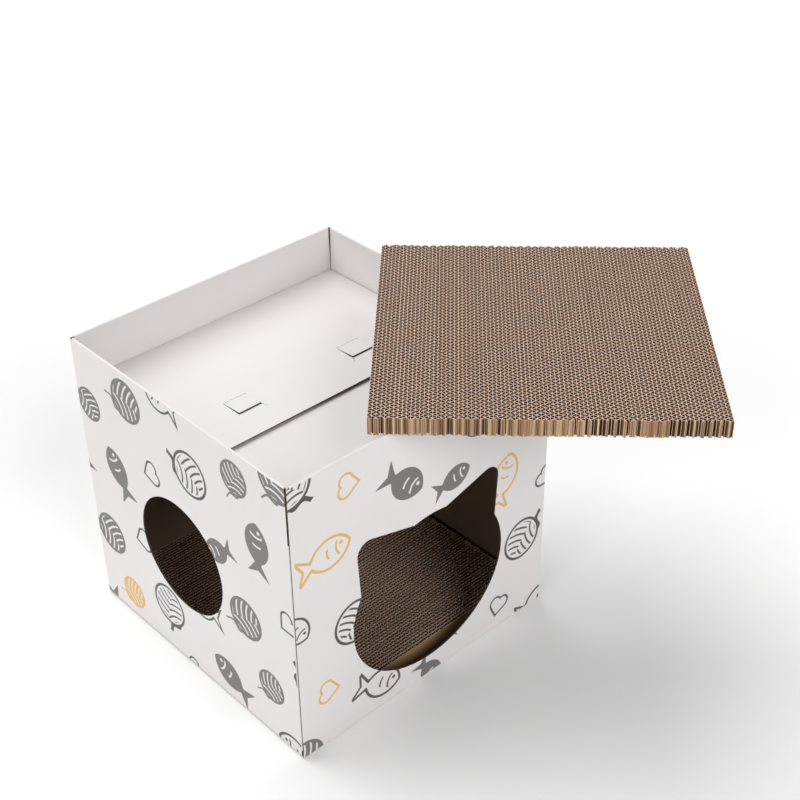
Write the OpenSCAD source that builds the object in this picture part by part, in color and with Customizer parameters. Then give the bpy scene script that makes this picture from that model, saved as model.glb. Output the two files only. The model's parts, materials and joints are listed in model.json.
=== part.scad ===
// Folding cat house of thin white-coated corrugated board, with a cat-head doorway, a round window,
// a recessed top with rolled rims, and two scratch pads of board strips glued side by side.
// The origin is the middle of the floor, +Z is up and the doorway faces -Y.

/* [House] */
// Width of the house outside, along X
house_w = 400; // [360:1:460]
// Depth of the house outside, along Y
house_d = 400; // [360:1:460]
// Height of the house to the top of the rim
house_h = 395; // [370:1:450]
// Thickness of the corrugated board
board_t = 1.6; // [1.2:0.1:3]
// Inside radius of a crease
crease_r = 0.4; // [0.2:0.1:1]
// Gap between two layers of board that lie on each other
layer_gap = 0.2; // [0.1:0.05:0.5]

/* [Doorway] */
// Width of the cat-head doorway across the cheeks
door_w = 241; // [200:1:260]
// Height of the doorway's head without its ears
door_h = 220; // [180:1:230]
// Height of the doorway's lowest point above the ground
door_sill = 30; // [28:1:45]
// Sideways shift of the doorway from the middle of the front wall
door_shift = 2; // [-10:1:10]
// Distance of each ear's tip from the doorway's middle line
ear_tip_x = 113; // [95:1:125]
// Height of each ear's tip above the middle of the head
ear_tip_z = 132; // [122:1:145]
// Radius of each ear's rounded tip
ear_tip_r = 17; // [6:1:18]

/* [Round window] */
// Diameter of the round window in the left wall
window_d = 156; // [80:1:180]
// Height of the window's middle above the ground
window_z = 176; // [130:1:200]
// Shift of the window from the middle of the left wall towards the back
window_shift = 11; // [-20:1:40]

/* [Rim and recessed top] */
// Depth of the recess, from the top of the rim to its floor
recess_depth = 63; // [40:1:90]
// How much shorter a rim liner is at the rim than at its foot, at each end
liner_taper = 1.2; // [0.5:0.1:4]
// Clearance between the feet of two liners that meet in a corner
liner_clear = 0.3; // [0.2:0.1:1]
// Clearance between a top flap's ends and the liners beside it
flap_clear = 1; // [0.5:0.1:3]
// Length of the back flap, the upper layer of the recess floor
back_flap_len = 234; // [190:1:260]
// Length of the front flap, the layer under it
front_flap_len = 250; // [190:1:280]
// Length of each side flap, the lowest layer
side_flap_len = 150; // [80:1:170]
// Angle by which the back flap springs up from the layer under it
flap_rise = 0.7; // [0:0.1:1.5]
// Running clearance round a crease that is used as a hinge
hinge_gap = 0.3; // [0.2:0.05:0.6]

/* [Lock tongues] */
// Width of a lock tongue
tongue_w = 32; // [20:1:50]
// Length of a lock tongue from its crease to its free edge
tongue_len = 30; // [20:1:45]
// Distance of each tongue's middle from the middle of the flap
tongue_x = 87; // [60:1:120]
// Distance from the tongue's free edge to the flap's free edge
tongue_setback = 46; // [20:1:70]
// Angle by which a lock tongue springs up from the back flap
tongue_rise = 4; // [0:0.5:10]
// Width of the cut round a tongue
kerf = 0.5; // [0.4:0.1:1.5]
// Length of the relief cut at a tongue's inner corner
nick_len = 9; // [4:1:15]
// Angle of the relief cut to the side of the tongue
nick_turn = 25; // [0:1:60]

/* [Floor and maker's joint] */
// Length of the front bottom flap, which sets where the floor's outer seam runs
bottom_front_len = 220; // [180:1:240]
// Gap left in a seam between two bottom flaps
seam_gap = 1; // [0.4:0.1:3]
// How far each end of a bottom flap stops short of the corner
bottom_trim = 3; // [2.5:0.5:6]
// Width of the glue flap behind the front wall
glue_flap_w = 35; // [20:1:45]
// How far the glue flap stops short of the floor and of the recess
glue_flap_trim = 8; // [4:1:20]

/* [Scratch pads] */
// Thickness of each pad, which is the width its strips were cut to
pad_t = 22; // [12:1:35]
// Spacing of the glued strips across a pad
strip_pitch = 4.6; // [3.5:0.1:7]
// Thickness of each of a strip's two facings
facing_t = 0.4; // [0.3:0.05:0.8]
// Height of the band, midway up a strip, that holds its facings together as the flutes do
core_h = 8; // [4:0.5:10]
// Clearance round the upper pad when it lies in the recess, across its strips
pad_side_clear = 3; // [1:0.5:8]
// Clearance round the upper pad when it lies in the recess, along its strips
pad_end_clear = 5.6; // [1:0.1:10]
// Free space between the lower pad and the front wall
lower_front_gap = 23; // [6:1:40]
// Clearance between the lower pad and the back wall
lower_back_gap = 0.6; // [0.3:0.1:3]
// Most by which a strip's end stops short of the pad's edge
ragged_end = 1.2; // [0.2:0.1:2]
// Most by which a strip's top stops short of the pad's thickness
ragged_top = 0.4; // [0.1:0.1:1]
// Angle by which the upper pad lies turned on the rim
pad_turn = -44.7; // [-60:0.1:-30]
// Distance of the upper pad's middle from the right wall's outer face
pad_inset_x = 7.6; // [5:0.1:60]
// Distance of the upper pad's middle from the front wall's outer face
pad_inset_y = 12.5; // [10:0.5:60]
// Gap under a pad where it lies on board
pad_seat_gap = 0.2; // [0.1:0.05:0.5]

/* [Hidden] */
$fn = 64;
// Angle on the head's outline where an ear's outer side starts
ear_out_angle = 27;
// Angle on the head's outline where an ear's inner side ends
ear_in_angle = 78;
// Steps along the curved stretches of the doorway's outline
outline_steps = 24;
// Steps round an ear's tip
tip_steps = 8;
// Overlap that lets a cut pass through the board on both sides
cut_over = 1;
// Overlap of neighbouring strips, soaked with glue
glue_bite = 0.05;

crease_out = board_t + crease_r;
layer_pitch = board_t + layer_gap;
rim_t = 2 * board_t + layer_gap;
rim_r = rim_t / 2;
wall_top = house_h - rim_r;
recess_z = house_h - recess_depth;
recess_w = house_w - 2 * rim_t;
recess_d = house_d - 2 * rim_t;
floor_t = 2 * board_t + layer_gap;
ceiling_z = recess_z - 2 * layer_pitch - board_t;
back_crease_y = layer_pitch + board_t / 2;
tongue_tip_y = rim_t + back_flap_len - tongue_setback;
tongue_root_y = tongue_tip_y - tongue_len;
strip_len = recess_w - 2 * pad_end_clear;
upper_strips = floor((recess_d - 2 * pad_side_clear) / strip_pitch);
lower_depth = house_d - 2 * board_t - lower_front_gap - lower_back_gap;
lower_strips = floor(lower_depth / strip_pitch);

white = [0.92, 0.91, 0.91];
lining = [0.87, 0.86, 0.86];
kraft = [0.62, 0.49, 0.36];
pad_brown = [0.66, 0.53, 0.40];

// Each side is drawn in its own frame: X along the wall from its middle, the wall's outer face at Y = 0,
// +Y into the house. These four put a side in its place.
module on_front() { translate([0, -house_d / 2, 0]) children(); }
module on_back() { translate([0, house_d / 2, 0]) rotate([0, 0, 180]) children(); }
module on_right() { translate([house_w / 2, 0, 0]) rotate([0, 0, 90]) children(); }
module on_left() { translate([-house_w / 2, 0, 0]) rotate([0, 0, -90]) children(); }

// A drawing in the Y-Z plane, carried along X and centred there
module along_wall(length) {
    rotate([90, 0, 90]) linear_extrude(length, center = true) children();
}

// The section of a creased board: a quarter ring round the origin, towards -X and -Y
module bend() {
    intersection() {
        difference() {
            circle(crease_out);
            circle(crease_r);
        }
        translate([-crease_out, -crease_out]) square(crease_out);
    }
}

// A wall panel from one end to the other, standing on its bottom crease
module panel(from, to, bottom) {
    translate([from, 0, bottom]) cube([to - from, board_t, wall_top - bottom]);
}

// The vertical crease at the start of a wall
module corner_crease(side_len, bottom) {
    translate([-side_len / 2 + crease_out, crease_out, bottom]) linear_extrude(wall_top - bottom) bend();
}

// A wall that starts with a folded corner
module folded_wall(side_len, bottom, end_short) {
    corner_crease(side_len, bottom);
    panel(-side_len / 2 + crease_out, side_len / 2 - end_short, bottom);
}

// Bottom of the walls whose flaps lie outside, and of those whose flaps lie inside
outer_bottom = crease_out;
inner_bottom = layer_pitch + crease_out;

// Cat-head outline: an ellipse with two ears
function head_point(a) = [door_w / 2 * cos(a), door_h / 2 * sin(a)];
function head_arc(from, to) = [for (i = [0:outline_steps]) head_point(from + (to - from) * i / outline_steps)];
function unit(v) = v / norm(v);
function angle_of(v) = atan2(v[1], v[0]);
// Arc of radius r that rounds the corner p between its neighbours a and b, for a left turn
function round_corner(a, p, b, r) =
    let (
        u = unit(a - p),
        v = unit(b - p),
        half = acos(u * v) / 2,
        centre = p + unit(u + v) * r / sin(half),
        start = angle_of(p + u * r / tan(half) - centre),
        sweep = 180 - 2 * half
    )
    [for (i = [0:tip_steps]) centre + r * [cos(start + sweep * i / tip_steps), sin(start + sweep * i / tip_steps)]];
right_half = concat(
    head_arc(-90, ear_out_angle),
    round_corner(head_point(ear_out_angle), [ear_tip_x, ear_tip_z], head_point(ear_in_angle), ear_tip_r),
    head_arc(ear_in_angle, 90)
);
left_half = [for (i = [len(right_half) - 2:-1:1]) [-right_half[i][0], right_half[i][1]]];

module cat_head() { polygon(concat(right_half, left_half)); }

module front_wall() {
    color(white) on_front() difference() {
        panel(-house_w / 2, house_w / 2 - crease_out, outer_bottom);
        translate([door_shift, board_t + cut_over, door_sill + door_h / 2])
            rotate([90, 0, 0]) linear_extrude(board_t + 2 * cut_over) cat_head();
    }
}

module left_wall() {
    color(white) on_left() difference() {
        folded_wall(house_d, inner_bottom, layer_pitch + crease_out);
        translate([-window_shift, -cut_over, window_z])
            rotate([-90, 0, 0]) cylinder(d = window_d, h = board_t + 2 * cut_over);
    }
}

module back_wall() { color(white) on_back() folded_wall(house_w, outer_bottom, crease_out); }

module right_wall() { color(white) on_right() folded_wall(house_d, inner_bottom, crease_out); }

// The left wall's end, folded behind the front wall and glued to it
module glue_flap() {
    low = inner_bottom + glue_flap_trim;
    high = ceiling_z - glue_flap_trim;
    crease_x = house_d / 2 - layer_pitch - crease_out;
    color(kraft) on_left() translate([crease_x, crease_out, low]) {
        linear_extrude(high - low) mirror([1, 0]) bend();
        translate([crease_r, 0, 0]) cube([board_t, glue_flap_w - crease_out, high - low]);
    }
}

// A wall's top rolled over into a liner that comes down inside, narrower at the rim than at its foot
module rim_liner(side_len, foot_z) {
    foot_half = side_len / 2 - rim_t - liner_clear;
    rim_half = foot_half - liner_taper;
    color(lining) {
        translate([0, rim_r, wall_top]) along_wall(2 * rim_half) intersection() {
            circle(rim_r);
            translate([-rim_r, 0]) square([rim_t, rim_r]);
        }
        translate([0, rim_t, 0]) rotate([90, 0, 0]) linear_extrude(board_t)
            polygon([[-foot_half, foot_z], [foot_half, foot_z], [rim_half, wall_top], [-rim_half, wall_top]]);
    }
}

// Top of the recess floor's layer: 0 is the back flap, 1 the front flap, 2 the side flaps
function layer_z(layer) = recess_z - layer * layer_pitch;

module front_rim_liner() { on_front() rim_liner(house_w, layer_z(1) + crease_r); }
module left_rim_liner() { on_left() rim_liner(house_d, layer_z(2) + crease_r); }
module right_rim_liner() { on_right() rim_liner(house_d, layer_z(2) + crease_r); }
module back_rim_liner() { on_back() rim_liner(house_w, layer_z(0) + hinge_gap); }

// A top flap creased to the foot of its liner
module creased_flap(side_len, layer, length) {
    color(lining) translate([0, rim_t, layer_z(layer)]) along_wall(side_len - 2 * rim_t - 2 * flap_clear) {
        translate([crease_r, crease_r]) bend();
        translate([crease_r, -board_t]) square([length - crease_r, board_t]);
    }
}

module top_front_flap() { on_front() creased_flap(house_w, 1, front_flap_len); }
module top_left_flap() { on_left() creased_flap(house_d, 2, side_flap_len); }
module top_right_flap() { on_right() creased_flap(house_d, 2, side_flap_len); }

// A board that swings about a round crease at its near edge, seen in section
module swinging_board(length) {
    circle(board_t / 2);
    translate([0, -board_t / 2]) square([length, board_t]);
}

// Turns what lies in the back flap's plane up about the flap's crease
module raised_flap() {
    crease = [0, back_crease_y, recess_z - board_t / 2];
    translate(crease) rotate([flap_rise, 0, 0]) translate(-crease) children();
}

// The cut that frees a tongue on three sides, hollowed round its crease, with a relief cut inwards
module tongue_cut(side) {
    low = recess_z - board_t - cut_over;
    deep = board_t + 2 * cut_over;
    inner_x = tongue_w / 2 + kerf;
    translate([side * tongue_x, 0, 0]) {
        translate([-inner_x, tongue_root_y, low]) cube([2 * inner_x, tongue_len + kerf, deep]);
        translate([0, tongue_root_y, recess_z - board_t / 2])
            along_wall(2 * inner_x) circle(board_t / 2 + hinge_gap);
        translate([-side * tongue_w / 2, tongue_tip_y, low]) rotate([0, 0, side * nick_turn])
            translate([-kerf / 2, 0, 0]) cube([kerf, nick_len, deep]);
    }
}

module top_back_flap() {
    length = rim_t + back_flap_len - back_crease_y;
    color(lining) on_back() raised_flap() difference() {
        translate([0, back_crease_y, recess_z - board_t / 2])
            along_wall(recess_w - 2 * flap_clear) swinging_board(length);
        for (side = [-1, 1]) tongue_cut(side);
    }
}

module lock_tongue(side) {
    color(lining) on_back() raised_flap() translate([side * tongue_x, tongue_root_y, recess_z - board_t / 2])
        rotate([tongue_rise, 0, 0]) along_wall(tongue_w) swinging_board(tongue_len);
}

module left_lock_tongue() { lock_tongue(1); }
module right_lock_tongue() { lock_tongue(-1); }

// A bottom flap folded in from the foot of its wall, raised by the layers under it
module bottom_flap(side_len, length, raise) {
    color(kraft) translate([0, 0, raise]) along_wall(side_len - 2 * bottom_trim) {
        translate([crease_out, crease_out]) bend();
        translate([crease_out, 0]) square([length - crease_out, board_t]);
    }
}

module bottom_front_flap() { on_front() bottom_flap(house_w, bottom_front_len, 0); }
module bottom_back_flap() { on_back() bottom_flap(house_w, house_d - bottom_front_len - seam_gap, 0); }
module bottom_left_flap() { on_left() bottom_flap(house_d, (house_w - seam_gap) / 2, layer_pitch); }
module bottom_right_flap() { on_right() bottom_flap(house_d, (house_w - seam_gap) / 2, layer_pitch); }

// A share from 0 to 1 that differs from strip to strip
function uneven(i, kind) = (1 + sin(i * 137.5 + kind * 71)) / 2;

// A strip on edge, in section: its facings are open to each other above and below the core
module strip_section(tall, bite) {
    square([facing_t, tall]);
    translate([strip_pitch - facing_t, 0]) square([facing_t + bite, tall]);
    translate([0, (pad_t - core_h) / 2]) square([strip_pitch, core_h]);
}

// A block of board strips on edge, glued side by side along X, with uneven ends and tops
module scratch_pad(strips) {
    for (i = [0:strips - 1]) {
        near = ragged_end * uneven(i, 1);
        far = ragged_end * uneven(i, 2);
        tall = pad_t - ragged_top * uneven(i, 3);
        bite = i < strips - 1 ? glue_bite : 0;
        translate([(i - strips / 2) * strip_pitch, strip_len / 2 - far, 0])
            rotate([90, 0, 0]) linear_extrude(strip_len - near - far) strip_section(tall, bite);
    }
}

module lower_pad() {
    middle_y = house_d / 2 - board_t - lower_back_gap - lower_strips * strip_pitch / 2;
    color(pad_brown) translate([0, middle_y, floor_t + pad_seat_gap])
        rotate([0, 0, 90]) scratch_pad(lower_strips);
}

module upper_pad() {
    color(pad_brown)
        translate([house_w / 2 - pad_inset_x, pad_inset_y - house_d / 2, house_h + pad_seat_gap])
        rotate([0, 0, pad_turn]) scratch_pad(upper_strips);
}

front_wall();
left_wall();
back_wall();
right_wall();
glue_flap();
front_rim_liner();
left_rim_liner();
back_rim_liner();
right_rim_liner();
top_front_flap();
top_left_flap();
top_right_flap();
top_back_flap();
left_lock_tongue();
right_lock_tongue();
bottom_front_flap();
bottom_back_flap();
bottom_left_flap();
bottom_right_flap();
lower_pad();
upper_pad();
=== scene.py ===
# %% [markdown]
# # A folded-board cat condo in the studio
# The house is one die-cut sheet of thin corrugated board, white and printed on one side and bare brown
# on the other, and its two scratch pads are blocks of brown corrugated strips. The frame brings every
# panel at its real size, so this lesson adds the finishes, the fluted pads, the light and the camera.

# %% Load the frame
import json
import math

import bpy
import numpy as np
from mathutils import Matrix, Quaternion, Vector


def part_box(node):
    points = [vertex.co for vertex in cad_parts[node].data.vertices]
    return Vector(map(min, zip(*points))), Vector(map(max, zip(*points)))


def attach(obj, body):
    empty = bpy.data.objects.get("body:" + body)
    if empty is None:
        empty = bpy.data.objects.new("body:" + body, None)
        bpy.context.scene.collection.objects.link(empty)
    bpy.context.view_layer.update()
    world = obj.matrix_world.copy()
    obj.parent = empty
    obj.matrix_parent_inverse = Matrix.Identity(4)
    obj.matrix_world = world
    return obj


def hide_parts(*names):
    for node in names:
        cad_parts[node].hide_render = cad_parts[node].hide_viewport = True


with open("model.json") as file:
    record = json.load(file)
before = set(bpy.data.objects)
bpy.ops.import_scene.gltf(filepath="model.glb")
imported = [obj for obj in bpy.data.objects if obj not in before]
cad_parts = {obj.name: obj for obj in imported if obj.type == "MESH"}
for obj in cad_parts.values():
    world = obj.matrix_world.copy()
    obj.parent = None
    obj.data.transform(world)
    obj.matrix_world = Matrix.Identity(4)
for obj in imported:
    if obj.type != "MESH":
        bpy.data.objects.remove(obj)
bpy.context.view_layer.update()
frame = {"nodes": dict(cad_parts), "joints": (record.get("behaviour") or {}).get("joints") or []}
nodes = frame["nodes"]

# %% [markdown]
# ## Camera
# The view was worked out from the straight edges of the house: where the eye stands, the point that it
# looks at, and how long its lens is. The small shift says that the picture is a part cut from a larger
# one. A camera can be turned by three angles, but they are hard to guess from a picture. A track
# rotation turns it from its place towards its aim, which keeps the few numbers readable.

# %% Camera
eye_place = Vector((-0.9065, -1.1436, 1.3133))
eye_aim = Vector((0.2509, 0.0518, 0.2000))
eye_roll_deg = 0.19
lens_mm = 66.27
frame_shift = (-0.0427, -0.0274)

eye = bpy.data.cameras.new("studio_camera")
eye.lens = lens_mm
eye.shift_x, eye.shift_y = frame_shift
camera = bpy.data.objects.new("studio_camera", eye)
camera.location = eye_place
camera.rotation_mode = "QUATERNION"
aimed = (eye_aim - eye_place).to_track_quat("-Z", "Y")
camera.rotation_quaternion = aimed @ Quaternion((0, 0, 1), math.radians(eye_roll_deg))
bpy.context.scene.collection.objects.link(camera)
bpy.context.scene.camera = camera
print("camera stands", round((eye_aim - eye_place).length, 3), "m from its aim")

# %% [markdown]
# ## Floor and light
# The house stands on a white sweep. A very wide light behind and above it lights the tops and throws a
# soft shadow towards the viewer. One in front fills the front wall and reaches in through the doorway,
# and one on the left fills that wall. Area lamps could do this too, but they would have to be kept out
# of the picture. A sun has only a direction, and the wider it is, the softer are its shadows. The world
# is a white backdrop to the eye, and adds only a little light of its own.

# %% Floor
floor_half = 12.0
floor_drop = 0.0002
sweep_white = (0.94, 0.94, 0.94)
sweep_roughness = 0.9


def new_material(name):
    """A new material: returns it, its node tree and the shader in it."""
    made = bpy.data.materials.new(name)
    made.use_nodes = True
    return made, made.node_tree, made.node_tree.nodes["Principled BSDF"]


sweep, _, sweep_shader = new_material("white_sweep")
sweep_shader.inputs["Base Color"].default_value = (*sweep_white, 1)
sweep_shader.inputs["Roughness"].default_value = sweep_roughness
corners = np.array([(-1, -1, 0), (1, -1, 0), (1, 1, 0), (-1, 1, 0)], float) * floor_half
corners[:, 2] = -floor_drop
floor_mesh = bpy.data.meshes.new("studio_floor")
floor_mesh.from_pydata(corners.tolist(), [], [(0, 1, 2, 3)])
floor_mesh.materials.append(sweep)
floor = bpy.data.objects.new("studio_floor", floor_mesh)
bpy.context.scene.collection.objects.link(floor)
print("floor is", 2 * floor_half, "m wide")

# %% Backdrop
sky_strength = 0.05
white = (1, 1, 1, 1)

world = bpy.data.worlds.new("soft_sky")
world.use_nodes = True
wires = world.node_tree
sky = wires.nodes["Background"]
sky.inputs["Color"].default_value = white
sky.inputs["Strength"].default_value = sky_strength
backdrop = wires.nodes.new("ShaderNodeBackground")
backdrop.inputs["Color"].default_value = white
ray = wires.nodes.new("ShaderNodeLightPath")
either = wires.nodes.new("ShaderNodeMixShader")
wires.links.new(ray.outputs["Is Camera Ray"], either.inputs["Fac"])
wires.links.new(sky.outputs["Background"], either.inputs[1])
wires.links.new(backdrop.outputs["Background"], either.inputs[2])
wires.links.new(either.outputs["Shader"], wires.nodes["World Output"].inputs["Surface"])
bpy.context.scene.world = world
bpy.context.scene.view_settings.view_transform = "Standard"
print("backdrop nodes:", len(wires.nodes))

# %% Lights
lights = {
    "back_light": {"from": (-0.06, 1.0, 1.7), "strength": 2.50, "width_deg": 60},
    "front_light": {"from": (0.0, -1.0, 0.65), "strength": 1.52, "width_deg": 40},
    "left_light": {"from": (-1.0, -0.1, 0.5), "strength": 1.0, "width_deg": 40},
}


def add_sun(name, light):
    """A sun that shines from the given direction, as wide as the softness of its shadows needs."""
    lamp = bpy.data.lights.new(name, "SUN")
    lamp.energy = light["strength"]
    lamp.angle = math.radians(light["width_deg"])
    sun = bpy.data.objects.new(name, lamp)
    sun.rotation_mode = "QUATERNION"
    sun.rotation_quaternion = Vector(light["from"]).to_track_quat("Z", "Y")
    bpy.context.scene.collection.objects.link(sun)


for name, light in lights.items():
    add_sun(name, light)
print("lights:", list(lights))

# %% [markdown]
# ## Arithmetic for finishes
# A finish here is a formula on the place of each point, in millimetres. It could be wired by hand from
# Math nodes, but a formula is hard to read in that form, so a small class lets ordinary Python sums build
# those nodes. A shape is then given by the distance to its outline, which is less than 0 within it.


# %% A number that varies over a surface
class Field:
    """A number that changes over a surface. Arithmetic on it adds Math nodes to its node tree."""

    def __init__(self, tree, socket):
        self.tree = tree
        self.socket = socket

    def math(self, operation, *others):
        """Adds a Math node with this field as its first value."""
        node = self.tree.nodes.new("ShaderNodeMath")
        node.operation = operation
        for slot, value in zip(node.inputs, (self, *others)):
            plug(self.tree, slot, value)
        return Field(self.tree, node.outputs[0])

    def __add__(self, other):
        return self.math("ADD", other)

    def __sub__(self, other):
        return self.math("SUBTRACT", other)

    def __rsub__(self, other):
        return self.math("MULTIPLY_ADD", -1.0, other)

    def __mul__(self, other):
        return self.math("MULTIPLY", other)

    def __truediv__(self, other):
        return self.math("DIVIDE", other)

    def __mod__(self, other):
        return self.math("FLOORED_MODULO", other)

    def __abs__(self):
        return self.math("ABSOLUTE")

    def __gt__(self, other):
        return self.math("GREATER_THAN", other)

    def __lt__(self, other):
        return self.math("LESS_THAN", other)

    __radd__ = __add__
    __rmul__ = __mul__


def plug(tree, socket, value):
    """Links a field or a node's output into a socket, or sets a plain number on it."""
    if isinstance(value, Field):
        tree.links.new(value.socket, socket)
    elif isinstance(value, bpy.types.NodeSocket):
        tree.links.new(value, socket)
    else:
        socket.default_value = value


print("field arithmetic ready")

# %% Shapes as distances
edge_soft = 0.3


def least(first, *others):
    """The smallest of several fields: the union of shapes given as distances."""
    for other in others:
        first = first.math("MINIMUM", other)
    return first


def most(first, *others):
    """The largest of several fields: what shapes given as distances have in common."""
    for other in others:
        first = first.math("MAXIMUM", other)
    return first


def reach(x, y):
    """Distance from the origin: the root of x times x plus y times y."""
    return x.math("MULTIPLY_ADD", x, y * y).math("SQRT")


def inside(distance):
    """1 within a shape and 0 outside, blending over edge_soft millimetres at its edge."""
    return (0.5 - distance / edge_soft).math("MINIMUM", 1.0).math("MAXIMUM", 0.0)


def pick(mask, yes, no):
    """yes where the mask is 1 and no where it is 0."""
    return mask.math("MULTIPLY_ADD", yes - no, no)


print("outlines blend over", edge_soft, "mm")

# %% [markdown]
# ## Node groups
# Paper fibre and the cut edge of corrugated board turn up in every finish of the house. Their nodes could
# be made anew in each material. A node group is built once instead, and each material places it with
# values of its own.


# %% Group helpers
def new_group(name, inputs, outputs):
    """A shader node group with the given sockets: returns it, its inputs as fields and a function that
    sets its outputs."""
    group = bpy.data.node_groups.new(name, "ShaderNodeTree")
    for socket, kind in inputs.items():
        group.interface.new_socket(socket, in_out="INPUT", socket_type=kind)
    for socket, kind in outputs.items():
        group.interface.new_socket(socket, in_out="OUTPUT", socket_type=kind)
    entry = group.nodes.new("NodeGroupInput")
    leave = group.nodes.new("NodeGroupOutput")
    fields = [Field(group, entry.outputs[socket]) for socket in inputs]

    def give(**values):
        for socket, value in values.items():
            plug(group, leave.inputs[socket], value)

    return group, fields, give


def place_group(tree, group, *values):
    """Places a group in a tree with the given inputs and returns its outputs as fields."""
    node = tree.nodes.new("ShaderNodeGroup")
    node.node_tree = group
    for slot, value in zip(node.inputs, values):
        plug(tree, slot, value)
    return [Field(tree, socket) for socket in node.outputs]


def noise(tree, place, scale, detail, stretch):
    """Smooth noise from 0 to 1, with its grain stretched along the axes as asked."""
    mapping = tree.nodes.new("ShaderNodeMapping")
    mapping.inputs["Scale"].default_value = stretch
    plug(tree, mapping.inputs["Vector"], place)
    texture = tree.nodes.new("ShaderNodeTexNoise")
    texture.inputs["Scale"].default_value = scale
    texture.inputs["Detail"].default_value = detail
    plug(tree, texture.inputs["Vector"], mapping.outputs["Vector"])
    return Field(tree, texture.outputs["Fac"])


print("group helpers ready")

# %% [markdown]
# ## Paper fibre
# Paper is not of one even colour: it is cloudy over some centimetres, and felted at about a millimetre.
# A scanned picture of paper could show this, but it would have seams at the folds. Two noises have none,
# and the finer one also serves as the height of the fibres.

# %% Paper fibre
cloud = {"scale": 0.02, "detail": 3.0, "stretch": (1, 1, 1)}
felt = {"scale": 0.9, "detail": 4.0, "stretch": (1, 1, 0.35)}
cloud_share, felt_share = 0.55, 0.45

fibre_group, (fibre_place,), give = new_group(
    "paper_fibre", {"Place": "NodeSocketVector"}, {"Tone": "NodeSocketFloat", "Height": "NodeSocketFloat"}
)
cloudy = noise(fibre_group, fibre_place, **cloud)
felted = noise(fibre_group, fibre_place, **felt)
give(Tone=cloudy * cloud_share + felted * felt_share, Height=felted)
print("paper fibre nodes:", len(fibre_group.nodes))

# %% [markdown]
# ## Cut edge of the board
# At a raw edge, corrugated board shows two facings with a wavy paper between them. The wave could be cut
# into the mesh, but it is about 3 mm long and shows at a few edges only, so here it is drawn. A point is
# on paper if it lies within a facing, or near a sine that swings from one facing to the other. The
# hollows between get a painted shade.

# %% Cut edge of the board
# In mm: the board, its facings, its coat, one flute and half the wavy paper
board_t = 1.6
facing_t = 0.28
coat_t = 0.08
flute_pitch = 3.4
medium_half = 0.16

edge_group, (depth, across), give = new_group(
    "board_section",
    {"Depth": "NodeSocketFloat", "Across": "NodeSocketFloat"},
    {"Coated": "NodeSocketFloat", "Paper": "NodeSocketFloat", "Washboard": "NodeSocketFloat"},
)
wave = (across * (2 * math.pi / flute_pitch)).math("SINE")
medium_depth = wave * (board_t / 2 - facing_t) + board_t / 2
on_facing = least(depth, board_t - depth) < facing_t
on_medium = abs(depth - medium_depth) < medium_half
give(Coated=depth < coat_t, Paper=most(on_facing, on_medium), Washboard=wave)
print("board section nodes:", len(edge_group.nodes))

# %% [markdown]
# ## The print
# The outside of the board carries a loose all-over print: solid grey and thin outlined drawings with a
# few orange ones. They could be thin meshes laid on the walls, but those would have to be trimmed at the
# doorway, the window and the folds. Here each drawing is a formula for the distance to its outline, so it
# is part of the board's finish, and one formula gives both a solid shape and a line round it.

# %% Fish
mark_half = 0.95


def fish_shape(x, y):
    """Distance to a fish along X, and to its marks. Two circles overlap to make the body, and a notched
    triangle is the tail. The marks are an eye and two curves, the gill and a scale, cut from rings."""
    body_r, body_k, body_x = 21.3, 7.3, 4.0
    body = most(reach(x - body_x, y - body_k), reach(x - body_x, y + body_k)) - body_r

    tail_start, tail_end, tail_half = -10.0, -27.0, 11.0
    flank_up, flank_along, notch_slope, blend = 0.80, 0.60, 0.45, 3.0
    flank = abs(y) * flank_up + (x - tail_start) * flank_along
    notch = (tail_end - x) + (tail_half - abs(y)) * notch_slope
    whole = body.math("SMOOTH_MIN", most(flank, notch), blend)

    eye_x, eye_y, eye_r = 16.0, 2.8, 1.8
    curve_r = 12.5
    curves = {"gill": (23.0, 7.0), "scale": (14.0, 5.0)}
    marks = reach(x - eye_x, y - eye_y) - eye_r
    for curve_x, curve_half in curves.values():
        ring = abs(reach(x - curve_x, y) - curve_r) - mark_half
        marks = least(marks, most(ring, abs(y) - curve_half))
    clear_edge = 2.4
    return whole, most(marks, whole + clear_edge)


print("fish ready, its marks", 2 * mark_half, "wide")


# %% Ball of yarn
def yarn_shape(x, y):
    """Distance to a ball of yarn with a loose end, and to its strands: rings round two points outside the
    ball, one set on each side of a slanted line."""
    ball_r = 20.0
    ball = reach(x, y) - ball_r

    sway_rate, sway, end_lift, end_half = 0.34, 2.2, 1.5, 1.1
    end_x, end_reach = 12.0, 10.0
    end_y = (x * sway_rate).math("SINE") * sway + y + ball_r - end_lift
    loose = most(abs(end_y) - end_half, abs(x - end_x) - end_reach)

    strand_step = 6.2
    wind_middles = ((-27.0, 12.0), (10.0, -31.0))
    upper_wind, lower_wind = [
        abs(reach(x - wind_x, y - wind_y) % strand_step - strand_step / 2) - mark_half
        for wind_x, wind_y in wind_middles
    ]
    split_slope, split_level = 0.5, -1.0
    strands = pick(x * split_slope + y > split_level, upper_wind, lower_wind)
    clear_edge = 3.0
    return least(ball, loose), most(strands, ball + clear_edge)


print("ball of yarn ready")


# %% Heart
def heart_shape(x, y):
    """Distance to a heart: a square on its corner with half circles on its two upper sides."""
    side = 16.0
    tip_share = 0.85
    half_turn = math.sqrt(0.5)
    rise = y + side * tip_share
    a = (abs(x) + rise) * half_turn
    b = (rise - abs(x)) * half_turn
    square = most(abs(a - side / 2), abs(b - side / 2)) - side / 2
    lobe = reach(a - side, b - side / 2) - side / 2
    return least(square, lobe)


print("heart ready")

# %% [markdown]
# ## Scattered drawings
# The drawings lie about loosely, as if strewn. A list of places would do, but it would be long. Two
# slanted grids of cells place them instead, large drawings in one grid and small drawings between them
# in the other. A hash of the cell moves each drawing a little and turns it its own way.

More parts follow.
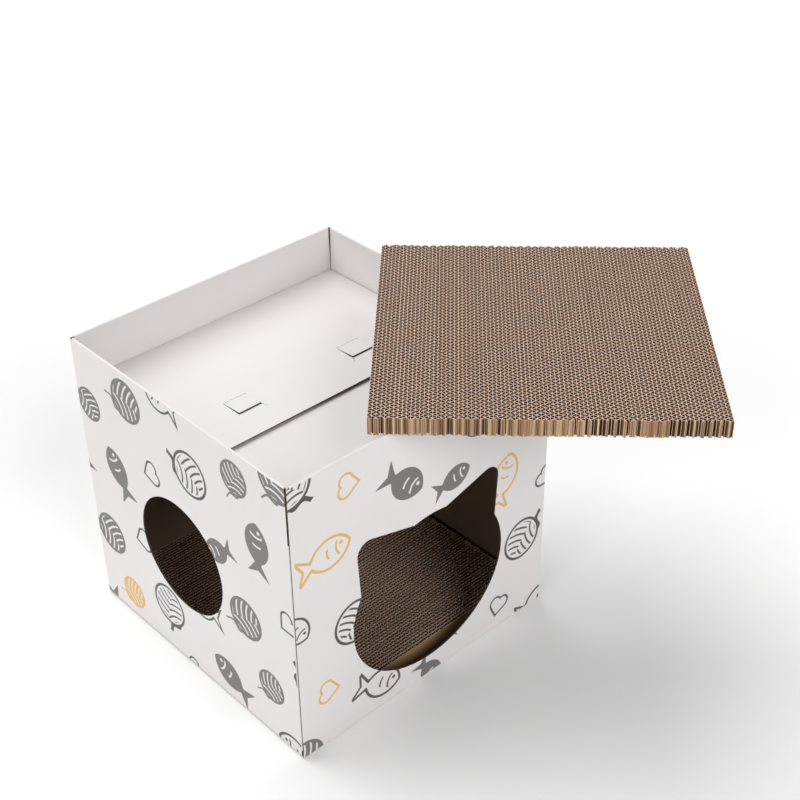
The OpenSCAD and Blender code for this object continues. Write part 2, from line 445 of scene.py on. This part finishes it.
# %% Scattered places
cell = 126.0
grid_slant = math.radians(18)
stray = 9.0
turn_range = 2.6


def scattered(tree, u, v, shift):
    """Slants a surface, splits it into square cells and gives a point its place in its cell's drawing: x
    and y from the drawing's middle, turned by the cell's own angle. Also returns the cell's three dice
    and its column and row."""
    slant_u = u * math.cos(grid_slant) + v * math.sin(grid_slant) + shift
    slant_v = v * math.cos(grid_slant) - u * math.sin(grid_slant) + shift
    column, row = (slant_u / cell).math("FLOOR"), (slant_v / cell).math("FLOOR")
    address = tree.nodes.new("ShaderNodeCombineXYZ")
    plug(tree, address.inputs["X"], column)
    plug(tree, address.inputs["Y"], row)
    address.inputs["Z"].default_value = shift
    hashed = tree.nodes.new("ShaderNodeTexWhiteNoise")
    tree.links.new(address.outputs["Vector"], hashed.inputs["Vector"])
    split = tree.nodes.new("ShaderNodeSeparateColor")
    tree.links.new(hashed.outputs["Color"], split.inputs["Color"])
    dice = [Field(tree, socket) for socket in split.outputs]
    middle_u = slant_u - (column + 0.5) * cell - (dice[0] - 0.5) * stray
    middle_v = slant_v - (row + 0.5) * cell - (dice[1] - 0.5) * stray
    turn = (dice[2] - 0.5) * turn_range
    cosine, sine = turn.math("COSINE"), turn.math("SINE")
    x = middle_u * cosine + middle_v * sine
    y = middle_v * cosine - middle_u * sine
    return x, y, dice, column, row


print("cells of", cell, "mm, slanted by", round(math.degrees(grid_slant)), "degrees")

# %% Which drawing is where
large, small = 1.45, 1.15
drawing_reach = 30.0

print_group, (print_u, print_v), give = new_group(
    "scattered_print",
    {"Along": "NodeSocketFloat", "Up": "NodeSocketFloat"},
    {"Grey": "NodeSocketFloat", "Line": "NodeSocketFloat", "Orange": "NodeSocketFloat"},
)
large_x, large_y, large_dice, large_column, large_row = scattered(print_group, print_u, print_v, 0.0)
small_x, small_y, small_dice, small_column, small_row = scattered(print_group, print_u, print_v, cell / 2)
on_large = reach(large_x, large_y) < drawing_reach * large
x = pick(on_large, large_x / large, small_x / small)
y = pick(on_large, large_y / large, small_y / small)

# A drawing's kind is a number: large drawings have the kinds 0 to 3, small ones 4 to 8.
large_kinds, small_kinds, row_step = 4.0, 5.0, 2.0
large_kind = (large_column + large_row * row_step) % large_kinds
small_kind = (small_column + small_row * row_step) % small_kinds + large_kinds
kind = pick(on_large, large_kind, small_kind)
print("nodes that place the drawings:", len(print_group.nodes))

# %% The printed pattern
line_half = 1.25
far_off = 99.0
fish_kinds, heart_kinds, solid_kinds = (0.0, 3.0, 4.0, 7.0), (5.0, 8.0), (0.0, 2.0, 4.0, 6.0)
# Three kinds are orange in those cells where a die falls above a limit.
orange_from = {3.0: (large_dice[0], 0.55), 5.0: (small_dice[1], 0.3), 6.0: (small_dice[0], 0.6)}


def is_kind(*kinds):
    """1 where the drawing's kind is one of those given."""
    return most(*[abs(kind - k) < 0.5 for k in kinds])


as_fish, as_heart, as_solid = is_kind(*fish_kinds), is_kind(*heart_kinds), is_kind(*solid_kinds)
as_orange = most(*[(die > limit) * is_kind(k) for k, (die, limit) in orange_from.items()])
fish, fish_marks = fish_shape(x, y)
yarn, yarn_marks = yarn_shape(x, y)
shape = pick(as_fish, fish, pick(as_heart, heart_shape(x, y), yarn))
marks = pick(as_fish, fish_marks, pick(as_heart, far_off, yarn_marks))

filled = inside(shape) * (1.0 - inside(marks))
lines = most(inside(abs(shape) - line_half), inside(marks))
give(
    Grey=filled * as_solid * (1.0 - as_orange),
    Line=lines * (1.0 - as_solid) * (1.0 - as_orange),
    Orange=pick(as_solid, filled, lines) * as_orange,
)
print("print nodes:", len(print_group.nodes))

# %% [markdown]
# ## Board finishes
# Folded board shows three things: its coated face, its bare brown face, and raw edges where wavy paper
# runs between two facings. Each face of the mesh could be given its own material, but a raw edge shows
# coat, facings and wave on one face. All three follow from one number, how deep a point lies below the
# coated face, so each panel only needs its own formula for that depth.

# %% Sizes of the house, in mm
MM = 1000.0
half_w = -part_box("left_wall")[0].x * MM
half_d = -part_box("front_wall")[0].y * MM
wall_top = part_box("front_wall")[1].z * MM
rim_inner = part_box("back_rim_liner")[0].y * MM
# Outer radius of a crease, and the step from one layer of board to the next
crease_out = 2.0
layer_pitch = 1.8
print("house half width and depth:", half_w, half_d, "rim starts at", wall_top)


# %% Places and folds
def place_in_mm(tree):
    """The place of a point in the object's frame in millimetres: a vector, then X, Y and Z as fields."""
    coordinates = tree.nodes.new("ShaderNodeTexCoord")
    scaled = tree.nodes.new("ShaderNodeVectorMath")
    scaled.operation = "SCALE"
    scaled.inputs["Scale"].default_value = MM
    tree.links.new(coordinates.outputs["Object"], scaled.inputs[0])
    split = tree.nodes.new("ShaderNodeSeparateXYZ")
    tree.links.new(scaled.outputs["Vector"], split.inputs["Vector"])
    return scaled.outputs["Vector"], *[Field(tree, socket) for socket in split.outputs]


def by_wall(x, y, front_back, left_right):
    """One value at the front and back walls, and another at the left and right walls."""
    return pick(abs(y) > abs(x), front_back, left_right)


def folded_depth(beyond_a, beyond_b):
    """Depth below the outside of a folded board: the crease's outer radius, less the distance from the
    crease's middle line, where only the parts beyond that line count."""
    return crease_out - reach(beyond_a.math("MAXIMUM", 0.0), beyond_b.math("MAXIMUM", 0.0))


print("creases turn at", crease_out, "mm")

# %% Sections of the walls and rims
# How far in from the corner the front wall's raw edge still counts as its face
raw_face = 0.2


def wall_section(x, y, z):
    """A wall is folded at every corner but the near left one, where the front wall's raw edge shows. That
    edge is drawn as cut along a flute, at the wave's crest, so it is hollow from top to bottom, and the
    hollow's painted shade darkens the corner line."""
    raw_end = (x < 0.0) * (y < -(half_d - crease_out))
    beyond_x = (abs(x) - (half_w - crease_out)) * (1.0 - raw_end)
    beyond_y = abs(y) - (half_d - crease_out)
    on_raw_face = raw_end * (x < -(half_w - raw_face))
    return folded_depth(beyond_x, beyond_y), pick(on_raw_face, flute_pitch / 4, by_wall(x, y, x, y))


def liner_section(x, y, z):
    """A rim liner has its coated face towards the recess, and its rolled top is coated all round."""
    depth = most(abs(x), abs(y)) - rim_inner
    return pick(z > wall_top, 0.0, depth), by_wall(x, y, x, y)


def glue_section(x, y, z):
    """The glue flap is folded in behind the front wall, a layer further in."""
    beyond_x = abs(x) - (half_w - crease_out)
    beyond_y = abs(y) + layer_pitch - (half_d - crease_out)
    return folded_depth(beyond_x, beyond_y), x


print("sections of walls and rims ready")


# %% Sections of the flaps
def flap_section(top, way):
    """A flap of the recessed top has its coated face up, at the height top. Its flutes follow each other
    the way given."""
    return lambda x, y, z: (top - z, {"x": x, "y": y}[way])


def swung_section(axis, rise_deg):
    """A board that swings about an axis along X and stands up by rise_deg, coated face up. Its depth is
    half the board less the height above its middle plane."""
    sine, cosine = math.sin(math.radians(rise_deg)), math.cos(math.radians(rise_deg))

    def section(x, y, z):
        height = (y - axis[1] * MM) * sine + (z - axis[2] * MM) * cosine
        return board_t / 2 - height, x

    return section


def floor_section(raised, way):
    """A bottom flap is folded in from its wall's foot, with its coated face down."""

    def section(x, y, z):
        beyond_wall = {"x": abs(y) - (half_d - crease_out), "y": abs(x) - (half_w - crease_out)}[way]
        return folded_depth(beyond_wall, raised + crease_out - z), {"x": x, "y": y}[way]

    return section


print("sections of flaps ready")

# %% [markdown]
# ## Coated board
# The sheet has a thin white coat with a slight sheen on one side and is rough brown paper on the other.
# Flutes show through the coat as a faint washboard. Separate materials for coat, paper and cut would all
# need the same depth, so one material mixes them, and each panel only brings its own section.


# %% Colours and relief
def mixed(tree, mask, no, yes):
    """A colour that is no where the mask is 0 and yes where it is 1."""
    node = tree.nodes.new("ShaderNodeMix")
    node.data_type = "RGBA"
    plug(tree, node.inputs["Factor"], mask)
    for slot, colour in ((node.inputs["A"], no), (node.inputs["B"], yes)):
        plug(tree, slot, (*colour, 1) if isinstance(colour, tuple) else colour)
    return node.outputs["Result"]


def add_relief(tree, shader, height):
    """Bump of the given height in mm."""
    bump = tree.nodes.new("ShaderNodeBump")
    bump.inputs["Distance"].default_value = 1 / MM
    plug(tree, bump.inputs["Height"], height)
    tree.links.new(bump.outputs["Normal"], shader.inputs["Normal"])


print("colour and relief helpers ready")

# %% Ink on the coat
ink_grey = (0.176, 0.166, 0.165)
ink_line = (0.075, 0.071, 0.071)
ink_orange = (0.760, 0.455, 0.135)
print_start = {"front": 0.0, "back": 629.0, "left": 385.0, "right": 1385.0}


def print_over(tree, coat, x, y, z):
    """The coat with the print on it. Each wall starts at its own place in the pattern."""
    at_front_back = pick(y > 0.0, print_start["back"], print_start["front"])
    at_left_right = pick(x > 0.0, print_start["right"], print_start["left"])
    along = by_wall(x, y, x, y) + by_wall(x, y, at_front_back, at_left_right)
    masks = place_group(tree, print_group, along, z)
    for mask, ink in zip(masks, (ink_grey, ink_line, ink_orange)):
        coat = mixed(tree, mask, coat, ink)
    return coat


print("print starts along the walls, in mm:", print_start)

# %% Coated board
coat_shade = (0.775, 0.745, 0.740)
coat_light = (0.815, 0.785, 0.780)
kraft_shade = (0.140, 0.095, 0.062)
kraft_light = (0.215, 0.150, 0.100)
# painted_flute_shade is painted shade for the hollows of a raw edge
painted_flute_shade = (0.030, 0.022, 0.016)
coat_roughness, kraft_roughness = 0.48, 0.88
fibre_mm, washboard_mm = 0.03, 0.02


def board_material(name, section, printed=False):
    """White-coated corrugated board whose depth below the coat is given by section."""
    made, tree, shader = new_material(name)
    place, x, y, z = place_in_mm(tree)
    depth, across = section(x, y, z)
    coated, paper, washboard = place_group(tree, edge_group, depth, across)
    tone, height = place_group(tree, fibre_group, place)
    coat = mixed(tree, tone, coat_shade, coat_light)
    if printed:
        coat = print_over(tree, coat, x, y, z)
    kraft = mixed(tree, tone, kraft_shade, kraft_light)
    # Where a raw edge is not on paper, its hollow is painted dark as shade
    bare = mixed(tree, paper, painted_flute_shade, kraft)
    plug(tree, shader.inputs["Base Color"], mixed(tree, coated, bare, coat))
    plug(tree, shader.inputs["Roughness"], pick(coated, coat_roughness, kraft_roughness))
    add_relief(tree, shader, height * fibre_mm + washboard * washboard_mm)
    return made


print("board relief, in mm: fibre", fibre_mm, "washboard", washboard_mm)

# %% [markdown]
# ## Finished panels
# The four walls are one sheet and share a material, as do the four rim liners. A flap lies at a height or
# an angle of its own, so it has a material of its own. Those heights and angles could be typed in again,
# but here they are read from the frame's boxes and joints, so they agree with the panels.


# %% Finish of the walls and rims
def finish(node, material):
    """Puts a material on every slot of a panel of the frame."""
    for slot in nodes[node].material_slots:
        slot.material = material


printed_board = board_material("printed_board", wall_section, printed=True)
lining_board = board_material("lining_board", liner_section)
for side in ("front", "left", "back", "right"):
    finish(f"{side}_wall", printed_board)
    finish(f"{side}_rim_liner", lining_board)
finish("glue_flap", board_material("glue_flap_board", glue_section))
print("walls, rims and glue flap finished")

# %% Finish of the flaps and tongues
# The front flap's box ends at the top of its crease, one inside radius above its coated face.
recess_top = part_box("top_front_flap")[1].z * MM - (crease_out - board_t) + layer_pitch
flap_layers = {"top_front_flap": (1, "x"), "top_left_flap": (2, "y"), "top_right_flap": (2, "y")}
for flap, (layer, way) in flap_layers.items():
    section = flap_section(recess_top - layer * layer_pitch, way)
    finish(flap, board_material(f"{flap}_board", section))

joints = {joint["name"]: joint for joint in frame["joints"]}
fold = joints["back_flap_fold"]
flap_rise = -fold["range_deg"][0]
finish("top_back_flap", board_material("top_back_flap_board", swung_section(fold["pos_m"], flap_rise)))
for side in ("left", "right"):
    lift = joints[f"{side}_tongue_lift"]
    section = swung_section(lift["pos_m"], flap_rise - lift["range_deg"][0])
    finish(f"{side}_lock_tongue", board_material(f"{side}_tongue_board", section))

for side, way in {"front": "x", "back": "x", "left": "y", "right": "y"}.items():
    flap = f"bottom_{side}_flap"
    section = floor_section(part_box(flap)[0].z * MM, way)
    finish(flap, board_material(f"bottom_{side}_board", section))
print("materials:", [material.name for material in bpy.data.materials])

# %% [markdown]
# ## Scratch pads
# A scratch pad is a stack of corrugated strips on edge, so its top shows straight facings with a wavy
# paper between each two, and dark cells in the waves. Bump can't make such deep cells. Every paper is
# instead a real upright ribbon: a thin upright section carried along a straight or wavy path. Freshly
# cut edges are pale and the papers' faces are brown. Down in the cells, shade is painted on the paper,
# darker with depth below the cut.

# %% Kraft paper of the pads
cut_shade = (0.800, 0.530, 0.385)
cut_light = (0.960, 0.700, 0.545)
face_shade = (0.300, 0.155, 0.062)
face_light = (0.715, 0.515, 0.310)
# painted_cell_shade is painted shade: the dark that stands in for the little light down in the cells
painted_cell_shade = (0.036, 0.016, 0.008)
edge_depth = 0.06
cut_strip_share, face_strip_share = 0.2, 0.7
pad_roughness = 0.85
pad_fibre_mm = 0.04


def varying(tree, name):
    """A number kept on the points of a mesh, as a field."""
    node = tree.nodes.new("ShaderNodeAttribute")
    node.attribute_name = name
    return Field(tree, node.outputs["Fac"])


def pad_material():
    """Bare kraft paper: pale at the cut, brown on its faces, with painted shade darkening it down in the
    cells.
    """
    made, tree, shader = new_material("scratch_board_paper")
    shader.inputs["Roughness"].default_value = pad_roughness
    tone, height = place_group(tree, fibre_group, place_in_mm(tree)[0])
    depth = varying(tree, "depth_mm")
    strip = varying(tree, "strip_tone")
    edge_tone = tone * (1 - cut_strip_share) + strip * cut_strip_share
    face_tone = tone * (1 - face_strip_share) + strip * face_strip_share
    edge = mixed(tree, edge_tone, cut_shade, cut_light)
    face = mixed(tree, face_tone, face_shade, face_light)
    paper = mixed(tree, (depth / edge_depth).math("MINIMUM", 1.0), edge, face)
    # Painted shade: darker with depth below the cut, full at lit_mm down, where the paper is shut in
    painted_shade = (depth / varying(tree, "lit_mm")).math("MINIMUM", 1.0) * varying(tree, "buried")
    plug(tree, shader.inputs["Base Color"], mixed(tree, painted_shade, paper, painted_cell_shade))
    add_relief(tree, shader, height * pad_fibre_mm)
    return made


pad_paper = pad_material()
print("pad paper nodes:", len(pad_paper.node_tree.nodes))

# %% [markdown]
# ## Ribbons
# One paper is a long thin strip standing on its edge. It could be a curve with a bevel, or a plane with
# modifiers for thickness, but a pad has over a hundred papers and each point carries numbers for the
# finish. Arrays build all papers of a group at once, one ribbon a row, and keep those numbers in step.

# %% Ribbons
section_side = np.array([1, -1, -1, -1, 1, 1])
cap_parts = ([0, 1, 2, 5], [5, 2, 3, 4])


def ribbon_ring(x, y, low, high, half_t, lit):
    """Points of upright ribbons, one ribbon a row, and how deep they lie below the cut: at each point of
    the path x, y a thin section from low to high, half_t to each side along the path's normal. Its
    corners run round from the top left, and one on each side, lit mm down, lets the painted shade change."""
    along_x, along_y = np.gradient(x, axis=1), np.gradient(y, axis=1)
    length = np.hypot(along_x, along_y)
    left_x, left_y = -along_y / length * half_t, along_x / length * half_t
    foot = high - low
    cut, shaded = np.zeros_like(foot), np.full_like(foot, lit)
    depth = np.stack([cut, cut, shaded, foot, foot, shaded], -1)
    ring_x = x[..., None] + left_x[..., None] * section_side
    ring_y = y[..., None] + left_y[..., None] * section_side
    return np.stack([ring_x, ring_y, high[..., None] - depth], -1), depth


def ribbon_faces(shape):
    """Faces of ribbons whose points are numbered by ribbon, place and corner, all turned outwards: the
    sides, then the caps at both ends. A cap has points of its own, numbered after all the others, and
    the points that they copy are also returned."""
    index = np.arange(math.prod(shape)).reshape(shape)
    after = np.roll(index, -1, axis=2)
    sides = np.stack([index[:, :-1], after[:, :-1], after[:, 1:], index[:, 1:]], -1)
    ends = index[:, [0, -1]]
    copies = index.size + np.arange(ends.size).reshape(ends.shape)
    caps = [end[:, part] for end in (copies[:, 0, ::-1], copies[:, 1]) for part in cap_parts]
    return np.concatenate([sides.reshape(-1, 4), *caps]), ends.ravel()


print("a ribbon has", len(section_side), "sides and", 2 * len(cap_parts), "faces at its ends")

# %% Layout of the ribbons' colours
# In bands: the margin of a band, the size of the caps' speck, and its place midway up the second band
band_margin = 0.1
cap_speck, cap_band = 0.001, 1.5
# In mm: how deep below the cut the caps count as being
end_depth = 0.03


def ribbon_layout(ribbons, places):
    """A flat place for every face, so that colours can be kept in a picture: one band for each side of a
    ribbon, as long as the ribbon, and a speck that all caps share."""
    sides = len(section_side)
    band, share = np.meshgrid(np.arange(ribbons * sides), np.linspace(0, 1, places), indexing="ij")
    u0, u1 = share[:, :-1], share[:, 1:]
    v0, v1 = band[:, :-1] + band_margin, band[:, :-1] + 1 - band_margin
    flat = np.stack([np.stack([u0, u0, u1, u1], -1), np.stack([v0, v1, v1, v0], -1)], -1)
    flat = flat.reshape(ribbons, sides, -1, 4, 2).swapaxes(1, 2)
    speck = np.array([(0, 0), (1, 0), (1, 1), (0, 1)]) * cap_speck + (0, cap_band)
    caps = np.tile(speck, (ribbons * 2 * len(cap_parts), 1, 1))
    return np.concatenate([flat.reshape(-1, 4, 2), caps])


def ribbon_parts(x, y, low, high, half_t, lit):
    """Upright ribbons ready for a mesh: points, their depths below the cut, the path point that each one
    belongs to, faces and layout. The caps count as end_depth deep, so they are half pale."""
    ring, depth = ribbon_ring(x, y, low, high, half_t, lit)
    faces, ends = ribbon_faces(depth.shape)
    ring = ring.reshape(-1, 3)
    points = np.concatenate([ring, ring[ends]])
    depths = np.concatenate([depth.ravel(), np.full(len(ends), end_depth)])
    owner = np.concatenate([np.arange(depth.size), ends]) // len(section_side)
    return points, depths, owner, faces, ribbon_layout(*x.shape)


print("share of the pale cut on the strips' ends:", round(1 - end_depth / edge_depth, 2))

# %% [markdown]
# ## Strips and papers
# Real strips are uneven: their ends and tops are ragged, facings drift sideways, and the waves of
# neighbours are out of step. Copies of one strip would show a pattern, so every paper has its own path.
# Ends and tops follow the formula of the solid pads, and the rest comes from a seeded random generator.

# %% Strips of a pad
pad_turn_deg = {"upper_pad": -44.7, "lower_pad": 90.0}
strip_turn_deg, kind_turn_deg = 137.5, 71
slow_rate, fast_rate = 0.024, 0.1


def uneven(count, kind):
    """A share from 0 to 1 for each strip, by a sine that doesn't repeat within a pad."""
    return (1 + np.sin(np.radians(np.arange(count) * strip_turn_deg + kind * kind_turn_deg))) / 2


def pad_frame(node, turn_deg):
    """The lowest and highest corner of a pad in its own frame, across and along its strips, in mm."""
    count = len(nodes[node].data.vertices)
    flat = np.empty(count * 3, np.float32)
    nodes[node].data.vertices.foreach_get("co", flat)
    turned = flat.reshape(-1, 3) @ np.array(Matrix.Rotation(math.radians(turn_deg), 3, "Z")) * MM
    return turned.min(0), turned.max(0)


def slow_wave(rows, along, size, rng):
    """A gentle sideways drift for each row: two long sines with their own starts, size mm at most."""
    waves = rng.uniform(slow_rate, fast_rate, (2, rows, 1))
    starts = rng.uniform(0, 2 * math.pi, (2, rows, 1))
    return size / 2 * np.sin(along * waves + starts).sum(0)


for node, turn_deg in pad_turn_deg.items():
    print(node, "in its own frame, in mm:", *pad_frame(node, turn_deg))

# %% Papers of a pad
strip_pitch = 4.6
flutes_per_strip = 56
points_per_flute = 6
ragged_end = 1.2
ragged_top = 0.4
wobble = 0.16
crest_push = 2.0
half_flute = 0.5
wave_dip, facing_dip, foot_lift = 0.22, 0.15, 0.25


def pad_papers(low, high, style, rng):
    """Paths of a pad's papers: straight facings between the strips and a wave within each strip, a sine
    times crest_push, cut off at 1 where its crests are pressed flat and glued to the facings. A facing
    drifts a little, and the wave runs from one facing to the next whatever their drift. Each wave
    starts half a flute after its neighbour, give or take a drift that adds up."""
    strips = round(float(high[0] - low[0]) / strip_pitch)
    near = low[1] + ragged_end * uneven(strips, 1)
    far = high[1] - ragged_end * uneven(strips, 2)
    tall = high[2] - ragged_top * uneven(strips, 3)
    share = np.linspace(0, 1, flutes_per_strip * points_per_flute + 1)[None]
    along = near[:, None] + (far - near)[:, None] * share
    facing_half = style["facing_half"]
    edges = np.linspace(low[0] + facing_half, high[0] - facing_half, strips + 1)[:, None]
    lines = edges + slow_wave(strips + 1, along[:1], wobble, rng)
    lines[0], lines[-1] = edges[0], edges[-1]
    drift = np.cumsum(half_flute + rng.normal(0, style["phase_drift"], (strips, 1)), axis=0)
    phase = 2 * math.pi * (flutes_per_strip * share + drift)
    swing = (lines[1:] - lines[:-1]) / 2 - facing_half - style["wave_half"]
    wave_x = (lines[1:] + lines[:-1]) / 2 + swing * np.clip(crest_push * np.sin(phase), -1, 1)
    crushed = rng.uniform(0, wave_dip, wave_x.shape)
    foot = low[2] + rng.uniform(0, foot_lift, lines.shape)
    facing_tall = np.concatenate([tall, tall[-1:]])[:, None] - rng.uniform(0, facing_dip, lines.shape)
    facing_along = np.concatenate([along, along[-1:]])
    coarse = np.s_[:, ::points_per_flute]
    return {
        "facing": (lines[coarse], facing_along[coarse], foot[coarse], facing_tall[coarse]),
        "wave": (wave_x, along, foot[1:], tall[:, None] - crushed),
    }


print("strips are", strip_pitch, "mm apart, with", flutes_per_strip, "flutes each")

# %% Groups of strips
buried_from = 3.5


def buried_share(name, along):
    """How far each point of a paper is shut in, which sets how much painted shade it gets: 0 at its ends
    and on the outermost sheets, 1 further in.
    """
    from_end = np.minimum(along - along[:, :1], along[:, -1:] - along)
    share = np.clip(from_end / buried_from, 0, 1)
    if name == "facing":
        share[0], share[-1] = 0, 0
    return share


def group_parts(papers, style, tones, first, last, turned):
    """Ribbons of the strips from first up to last, with the numbers that are kept on their points. The
    last strips also bring the facing that closes the pad."""
    strips = len(papers["wave"][0])
    parts = []
    for name, path in papers.items():
        closing = int(name == "facing" and last == strips)
        rows = slice(first, last + closing)
        ribbons = [part[rows] for part in path]
        lit = style[f"{name}_lit"]
        points, depth, owner, faces, flat = ribbon_parts(*ribbons, style[f"{name}_half"], lit)
        numbers = {
            # depth_mm, lit_mm and buried place the painted shade in the cells; strip_tone is the strip's
            # own tone
            "depth_mm": depth,
            "lit_mm": np.full(len(points), lit),
            "buried": buried_share(name, path[1])[rows].ravel()[owner],
            "strip_tone": tones[rows][owner // ribbons[0].shape[1]],
        }
        parts.append((points @ turned / MM, numbers, faces, flat))
    return parts


print("papers count as shut in from", buried_from, "mm behind their ends")

# %% Mesh of a group
sharp_deg = 75


def pad_mesh(name, parts):
    """One mesh of several sets of ribbons, with numbers on its points and a layout for its colours."""
    starts = np.cumsum([0] + [len(points) for points, *_ in parts])
    bands = np.cumsum([0] + [flat[..., 1].max() + band_margin for *_, flat in parts])
    mesh = bpy.data.meshes.new(name)
    points = np.concatenate([points for points, *_ in parts])
    faces = np.concatenate([faces + start for (_, _, faces, _), start in zip(parts, starts)])
    mesh.from_pydata(points, [], faces)
    flat = np.concatenate([flat + (0, band) for (*_, flat), band in zip(parts, bands)])
    layout = mesh.uv_layers.new(name="OFBake")
    layout.data.foreach_set("uv", (flat / (1, bands[-1])).astype(np.float32).ravel())
    for key in parts[0][1]:
        values = np.concatenate([numbers[key] for _, numbers, *_ in parts])
        mesh.attributes.new(key, "FLOAT", "POINT").data.foreach_set("value", values.astype(np.float32))
    mesh.shade_smooth()
    mesh.set_sharp_from_angle(angle=math.radians(sharp_deg))
    mesh.materials.append(pad_paper)
    return mesh


print("edges sharper than", sharp_deg, "degrees stay sharp")

# %% [markdown]
# ## Both pads
# The strips of the lower pad lie across the light that comes in through the doorway, so the painted
# shade on their facings only gets full far down. Those of the upper pad run away from the viewer, who
# looks into cells painted dark just below the cut. One set of values for both would be wrong for one of
# them, so each pad has a style: half the thickness of its papers, how deep the painted shade takes to
# get full, and how far its waves drift out of step. A pad is built in groups of strips, which are easier
# to handle than one large mesh.

# %% Both pads
strips_per_piece = 21
# facing_lit and wave_lit: mm below the cut at which the painted cell shade is full
upper_style = {
    "facing_half": 0.20, "facing_lit": 0.15,
    "wave_half": 0.30, "wave_lit": 0.15,
    "phase_drift": 0.07,
}
lower_style = {
    "facing_half": 0.34, "facing_lit": 1.0,
    "wave_half": 0.17, "wave_lit": 0.3,
    "phase_drift": 0.3,
}


def build_pad(node, body, style, seed):
    """Builds a pad in groups of neighbouring strips, each one mesh, and hangs them on the pad's body."""
    rng = np.random.default_rng(seed)
    turn_deg = pad_turn_deg[node]
    low, high = pad_frame(node, turn_deg)
    papers = pad_papers(low, high, style, rng)
    strips = len(papers["wave"][0])
    tones = rng.uniform(0, 1, strips + 1)
    turned = np.array(Matrix.Rotation(math.radians(-turn_deg), 3, "Z"))
    for number, first in enumerate(range(0, strips, strips_per_piece), 1):
        last = min(first + strips_per_piece, strips)
        mesh = pad_mesh(f"{node}_strips_{number}", group_parts(papers, style, tones, first, last, turned))
        piece = bpy.data.objects.new(mesh.name, mesh)
        bpy.context.scene.collection.objects.link(piece)
        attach(piece, body)
        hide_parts(node)
        print(piece.name, "faces:", len(mesh.polygons))


build_pad("upper_pad", "upper_scratch_pad", upper_style, seed=11)
build_pad("lower_pad", "lower_scratch_pad", lower_style, seed=28)
